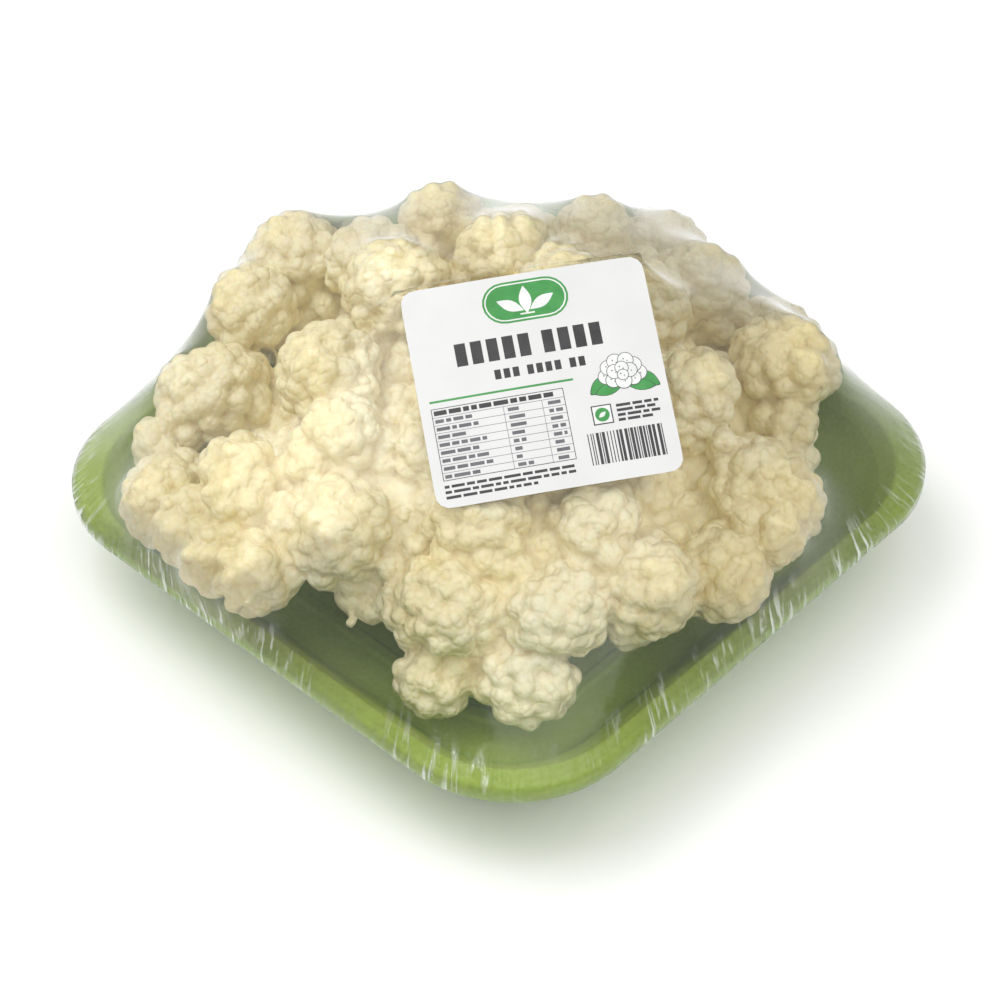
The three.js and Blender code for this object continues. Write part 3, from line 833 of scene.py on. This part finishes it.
class Material:
    """A material whose nodes are wired by name."""

    def __init__(self, name):
        self.data = bpy.data.materials.new(name)
        self.data.use_nodes = True
        self.tree = self.data.node_tree
        self.surface = self.tree.nodes["Principled BSDF"]
        self.place = self.node("ShaderNodeTexCoord").outputs["Object"]

    def node(self, kind, **settings):
        made = self.tree.nodes.new(kind)
        for name, value in settings.items():
            setattr(made, name, value)
        return made

    def feed(self, socket, value):
        if hasattr(value, "is_linked"):
            self.tree.links.new(value, socket)
        else:
            socket.default_value = value

    def set(self, **values):
        for name, value in values.items():
            self.feed(self.surface.inputs[name.replace("_", " ")], value)

    def math(self, operation, *values, clamp=False):
        made = self.node("ShaderNodeMath", operation=operation, use_clamp=clamp)
        for socket, value in zip(made.inputs, values):
            self.feed(socket, value)
        return made.outputs[0]

    def mix(self, share, low, high):
        made = self.node("ShaderNodeMix", data_type="RGBA")
        self.feed(made.inputs["Factor"], share)
        self.feed(made.inputs[6], low)
        self.feed(made.inputs[7], high)
        return made.outputs[2]

    def span(self, value, low, high, out_low=0.0, out_high=1.0):
        made = self.node("ShaderNodeMapRange", clamp=True)
        for socket, item in zip(made.inputs, (value, low, high, out_low, out_high)):
            self.feed(socket, item)
        return made.outputs[0]

    def attribute(self, name):
        return self.node("ShaderNodeAttribute", attribute_name=name).outputs["Fac"]

    def noise(self, vector, scale, detail=3.0, roughness=0.5, distortion=0.0):
        made = self.node("ShaderNodeTexNoise")
        self.feed(made.inputs["Vector"], vector)
        made.inputs["Scale"].default_value = scale
        made.inputs["Detail"].default_value = detail
        made.inputs["Roughness"].default_value = roughness
        made.inputs["Distortion"].default_value = distortion
        return made.outputs["Fac"]

    def cells(self, vector, scale, smoothness=0.5):
        made = self.node("ShaderNodeTexVoronoi", feature="SMOOTH_F1")
        self.feed(made.inputs["Vector"], vector)
        made.inputs["Scale"].default_value = scale
        made.inputs["Smoothness"].default_value = smoothness
        return made.outputs["Distance"]

    def domes(self, distance):
        """A height that is round over each cell's middle and steep at its edge."""
        return self.math("SUBTRACT", 1.0, self.math("MULTIPLY", distance, distance))

    def height(self):
        made = self.node("ShaderNodeSeparateXYZ")
        self.feed(made.inputs[0], self.place)
        return made.outputs["Z"]

    def combine(self, x, y, z):
        made = self.node("ShaderNodeCombineXYZ")
        for socket, value in zip(made.inputs, (x, y, z)):
            self.feed(socket, value)
        return made.outputs[0]

    def bump(self, height, distance, strength=1.0, onto=None):
        made = self.node("ShaderNodeBump")
        made.inputs["Distance"].default_value = distance
        made.inputs["Strength"].default_value = strength
        self.feed(made.inputs["Height"], height)
        if onto is not None:
            self.feed(made.inputs["Normal"], onto)
        return made.outputs["Normal"]

    def mottle(self, group, **values):
        made = self.node("ShaderNodeGroup", node_tree=group)
        self.feed(made.inputs["Vector"], self.place)
        for name, value in values.items():
            made.inputs[name.replace("_", " ")].default_value = value
        return made.outputs["Patches"], made.outputs["Grain"]


def mottle_group():
    """Broad patches and fine grain at two scales, for every finish."""
    group = bpy.data.node_groups.new("patches_and_grain", "ShaderNodeTree")
    group.interface.new_socket("Vector", in_out="INPUT", socket_type="NodeSocketVector")
    for name in ("Patch Scale", "Grain Scale"):
        group.interface.new_socket(name, in_out="INPUT", socket_type="NodeSocketFloat")
    for name in ("Patches", "Grain"):
        group.interface.new_socket(name, in_out="OUTPUT", socket_type="NodeSocketFloat")
    entry, leave = group.nodes.new("NodeGroupInput"), group.nodes.new("NodeGroupOutput")
    for name, detail in (("Patch", 3.0), ("Grain", 2.0)):
        made = group.nodes.new("ShaderNodeTexNoise")
        made.inputs["Detail"].default_value = detail
        group.links.new(entry.outputs["Vector"], made.inputs["Vector"])
        group.links.new(entry.outputs[f"{name} Scale"], made.inputs["Scale"])
        group.links.new(made.outputs["Fac"], leave.inputs["Patches" if name == "Patch" else "Grain"])
    return group


BEADS_PER_METRE, GRANULES_PER_METRE = 480.0, 1050.0


def curd_material(group):
    """Cream curd with painted shade in its valleys, its creases and between its beads, painted shade with a
    painted green cast from the tray low down, and pale green stalks. Its small beads are a bump.
    """
    m = Material("curd_flesh")
    patches, grain = m.mottle(group, Patch_Scale=38.0, Grain_Scale=900.0)
    crease_shade, valley_shade, curd = m.attribute("crease_shade"), m.attribute("valley_shade"), m.attribute("curd_share")
    # Painted shade, with a painted green cast of light from the tray, over the lowest part of the curd.
    low = m.span(m.height(), 18 * MM, 8 * MM, 0, 0.8)
    beads = m.cells(m.place, BEADS_PER_METRE, 0.2)
    body = m.mix(m.span(patches, 0.35, 0.66), (0.92, 0.82, 0.50, 1), (0.93, 0.87, 0.64, 1))
    # The painted low shade and its green cast go into the colour here.
    body = m.mix(low, body, (0.52, 0.54, 0.20, 1))
    # Painted shade in the small creases between the beads.
    bead_shaded = m.mix(m.span(beads, 0.45, 0.85, 0, 0.45), body, (0.86, 0.74, 0.42, 1))
    # Painted shade in the creases between buds.
    shaded_in_hollows = m.mix(m.span(crease_shade, 0.1, 0.9, 0, 0.7), bead_shaded, (0.74, 0.57, 0.25, 1))
    # Painted shade, darker still, in the valleys between lobes.
    shaded_in_hollows = m.mix(m.span(valley_shade, 0.3, 0.95, 0, 0.75), shaded_in_hollows, (0.42, 0.30, 0.09, 1))
    fresh = m.mix(m.span(grain, 0.3, 0.7), (0.70, 0.74, 0.46, 1), (0.80, 0.82, 0.58, 1))
    m.set(Base_Color=m.mix(curd, fresh, shaded_in_hollows))
    bead_bump = m.bump(m.domes(beads), 0.75 * MM, 0.95)
    granules = m.cells(m.place, GRANULES_PER_METRE, 0.2)
    granule_bump = m.bump(m.domes(granules), 0.22 * MM, 0.6, onto=bead_bump)
    m.set(Normal=m.bump(grain, 0.1 * MM, 0.3, onto=granule_bump))
    m.set(Roughness=m.span(grain, 0.3, 0.7, 0.46, 0.62))
    m.surface.inputs["Subsurface Weight"].default_value = 0.3
    m.surface.inputs["Subsurface Radius"].default_value = (1.0, 0.7, 0.3)
    m.surface.inputs["Subsurface Scale"].default_value = 2.0 * MM
    return m.data


def tray_material(group):
    m = Material("green_foam")
    patches, grain = m.mottle(group, Patch_Scale=55.0, Grain_Scale=1500.0)
    cells = m.cells(m.place, 900.0, 0.3)
    base = m.mix(m.span(patches, 0.3, 0.7), (0.33, 0.47, 0.045, 1), (0.40, 0.55, 0.075, 1))
    m.set(Base_Color=m.mix(m.span(cells, 0.2, 0.75, 0, 0.35), base, (0.50, 0.63, 0.15, 1)))
    m.set(Roughness=m.span(grain, 0.3, 0.7, 0.36, 0.5))
    m.set(Normal=m.bump(cells, 0.1 * MM, 0.3, onto=m.bump(grain, 0.05 * MM, 0.3)))
    return m.data


def paper_material(group):
    m = Material("coated_paper")
    patches, grain = m.mottle(group, Patch_Scale=120.0, Grain_Scale=5200.0)
    m.set(Base_Color=m.mix(m.span(patches, 0.3, 0.7), (0.65, 0.65, 0.64, 1), (0.68, 0.68, 0.67, 1)))
    m.set(Roughness=m.span(grain, 0.3, 0.7, 0.34, 0.46))
    m.set(Normal=m.bump(grain, 0.02 * MM, 0.3))
    return m.data


def ink_material(name, colour, group):
    m = Material(name)
    patches, grain = m.mottle(group, Patch_Scale=300.0, Grain_Scale=5200.0)
    light = tuple(min(1.0, channel * 1.15 + 0.012) for channel in colour) + (1,)
    m.set(Base_Color=m.mix(m.span(patches, 0.35, 0.65), colour + (1,), light))
    m.set(Roughness=m.span(grain, 0.3, 0.7, 0.38, 0.5))
    return m.data


def film_material(group):
    """Clear film, seen where it turns edge on, by painted highlights along its stretch creases near the rim
    and by a slight haze.
    """
    m = Material("stretch_film")
    round_way, down_way = m.attribute("round_way"), m.attribute("down_way")
    from_rim, hang = m.attribute("from_rim"), m.attribute("hang")

    def along_rim(round_scale, down_scale, level):
        across = m.math("MULTIPLY", round_way, round_scale)
        return m.combine(across, m.math("MULTIPLY", down_way, down_scale), level)

    streaks = m.noise(along_rim(620.0, 70.0, 0.0), 1.0, 3.0, 0.55, 0.6)
    groups = m.span(m.noise(along_rim(42.0, 26.0, 3.7), 1.0, 1.5), 0.38, 0.55)
    near_rim = m.span(from_rim, 10 * MM, 1.5 * MM)
    # Painted highlights: white streaks that make the film more opaque along its stretch creases near the rim.
    crease_glints = m.math("MULTIPLY", m.span(streaks, 0.55, 0.64), m.math("MULTIPLY", groups, near_rim))
    patches, grain = m.mottle(group, Patch_Scale=30.0, Grain_Scale=420.0)
    free = m.span(hang, 0.2 * MM, 3 * MM, 0.5, 1.0)
    haze = m.math("MULTIPLY", m.span(patches, 0.35, 0.7, 0.0, 0.03), free)
    fresnel = m.node("ShaderNodeFresnel")
    fresnel.inputs["IOR"].default_value = 1.45
    ripple = m.bump(m.math("MULTIPLY", streaks, near_rim), 0.7 * MM, 0.8)
    ripple = m.bump(grain, 0.25 * MM, 0.25, onto=ripple)
    m.feed(fresnel.inputs["Normal"], ripple)
    sheen = m.math("MULTIPLY", fresnel.outputs[0], 1.2)
    shown = m.math("ADD", m.math("ADD", sheen, haze), m.math("MULTIPLY", crease_glints, 0.5), clamp=True)
    m.set(Base_Color=(0.93, 0.95, 0.94, 1), Metallic=0.75, Roughness=m.span(grain, 0.3, 0.7, 0.06, 0.16))
    m.set(Alpha=shown, Normal=ripple)
    return m.data


# ---------------------------------------------------------------------------------------- camera and light

VIEW_BEARING, VIEW_RISE, CAMERA_AWAY, LENS = 42.75, 44.4, 620 * MM, 100.66
AIM_HEIGHT, AIM_DROP = 22 * MM, 5.4 * MM
SKY_STRENGTH, FLOOR_HALF = 0.72, 3


def make_camera():
    turn, rise = math.radians(VIEW_BEARING), math.radians(VIEW_RISE)
    back = Vector((math.sin(turn) * math.cos(rise), -math.cos(turn) * math.cos(rise), math.sin(rise)))
    right = Vector((math.cos(turn), math.sin(turn), 0))
    up = back.cross(right)
    aim = Vector((0, 0, AIM_HEIGHT)) - up * AIM_DROP
    data = bpy.data.cameras.new("camera")
    data.lens, data.sensor_width = LENS, 36
    camera = bpy.data.objects.new("camera", data)
    scene.collection.objects.link(camera)
    turned = Matrix((right, up, back)).transposed().to_4x4()
    camera.matrix_world = Matrix.Translation(aim + back * CAMERA_AWAY) @ turned
    scene.camera = camera


def soft_lamp(name, bearing, rise, away, size, watts):
    """A square soft lamp that faces the pack, from a bearing and a rise in degrees."""
    turn, lift = math.radians(bearing), math.radians(rise)
    toward = Vector((math.sin(turn) * math.cos(lift), -math.cos(turn) * math.cos(lift), math.sin(lift)))
    data = bpy.data.lights.new(name, "AREA")
    data.size, data.energy = size, watts
    lamp = bpy.data.objects.new(name, data)
    scene.collection.objects.link(lamp)
    turned = toward.to_track_quat("Z", "Y").to_matrix().to_4x4()
    lamp.matrix_world = Matrix.Translation(toward * away) @ turned


def make_studio():
    world = bpy.data.worlds.new("studio")
    scene.world = world
    world.use_nodes = True
    world.node_tree.nodes["Background"].inputs["Color"].default_value = (1, 1, 1, 1)
    world.node_tree.nodes["Background"].inputs["Strength"].default_value = SKY_STRENGTH
    soft_lamp("key", bearing=-42, rise=65, away=0.9, size=0.6, watts=3.3)
    soft_lamp("fill", bearing=75, rise=60, away=1.0, size=0.8, watts=2.8)
    shape = bmesh.new()
    bmesh.ops.create_grid(shape, x_segments=1, y_segments=1, size=FLOOR_HALF)
    floor = piece_from_bmesh("floor", shape, smooth=False)
    m = Material("floor")
    m.set(Base_Color=(0.96, 0.96, 0.96, 1), Roughness=0.9)
    floor.data.materials.append(m.data)


def assemble():
    group = mottle_group()
    curd, under_film = make_curd()
    curd.data.materials.append(curd_material(group))
    finish_piece(curd, "curd", "cauliflower")

    tray = make_tray()
    tray.data.materials.append(tray_material(group))
    finish_piece(tray, "tray_foam", "foam_tray")

    paper = make_paper()
    paper.data.materials.append(paper_material(group))
    finish_piece(paper, "label_paper", "label")
    ink = make_print()
    for name, colour in INK_COLOURS.items():
        ink.data.materials.append(ink_material(name, colour, group))
    finish_piece(ink, "label_paper")

    film = make_film(under_film)
    film.data.materials.append(film_material(group))
    finish_piece(film, "clear_film", "stretch_film")


make_camera()
make_studio()
assemble()
